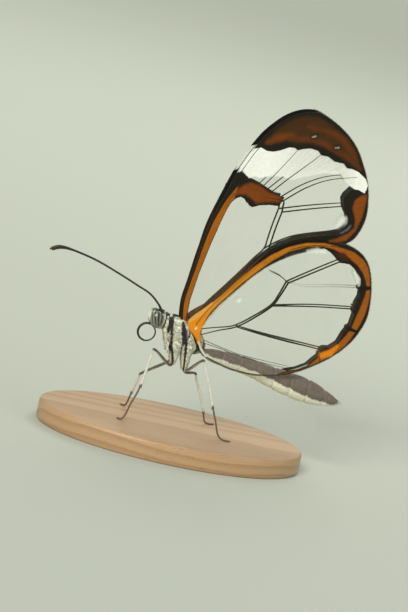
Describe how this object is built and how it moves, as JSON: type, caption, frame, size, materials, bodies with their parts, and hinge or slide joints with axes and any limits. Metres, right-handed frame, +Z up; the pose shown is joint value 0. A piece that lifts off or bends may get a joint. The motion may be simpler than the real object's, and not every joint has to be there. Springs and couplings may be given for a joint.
{
  "type": "glasswing butterfly model",
  "caption": "Life-size glasswing butterfly standing with closed clear-paned wings, coiled proboscis and long antennae, on a small oval wooden display base.",
  "frame": {"origin": "centre of the base's underside, which is the bottom centre of the whole part's box", "axes": "+Z is up, from the base to the wing tips; the head faces -X and the antennae reach forward along it; +Y is the butterfly's right side"},
  "size_m": [0.0388, 0.022, 0.0427],
  "materials": {
    "striped_body": "short white scales with black stripes over the head, palps and thorax",
    "eye": "glossy grey compound eye with dark curved bands",
    "dark_cuticle": "satin black-brown cuticle, finely ringed",
    "abdomen_scales": "grey-brown scales above, cream below, ringed by segment edges",
    "leg_scales": "thin scaled legs, dark with pale grey shins",
    "forewing_membrane": "clear glossy panes between dark veins, with a brown-orange border, black edge and a white band near the tip",
    "hindwing_membrane": "clear glossy panes between dark veins, inside an orange border edged with black",
    "stand_wood": "pale fine-grained wood with a softened rim, satin oil finish"
  },
  "bodies": {
    "root": {"abdomen": "abdomen_scales", "antenna_left": "dark_cuticle", "antenna_right": "dark_cuticle", "eye_left": "eye", "eye_right": "eye", "foreleg_left": "leg_scales", "foreleg_right": "leg_scales", "forewing_left": "forewing_membrane", "forewing_right": "forewing_membrane", "head": "striped_body", "hindleg_left": "leg_scales", "hindleg_right": "leg_scales", "hindwing_left": "hindwing_membrane", "hindwing_right": "hindwing_membrane", "midleg_left": "leg_scales", "midleg_right": "leg_scales", "palp_left": "striped_body", "palp_right": "striped_body", "proboscis": "dark_cuticle", "stand_base": "stand_wood", "thorax": "striped_body"}
  },
  "joints": []
}
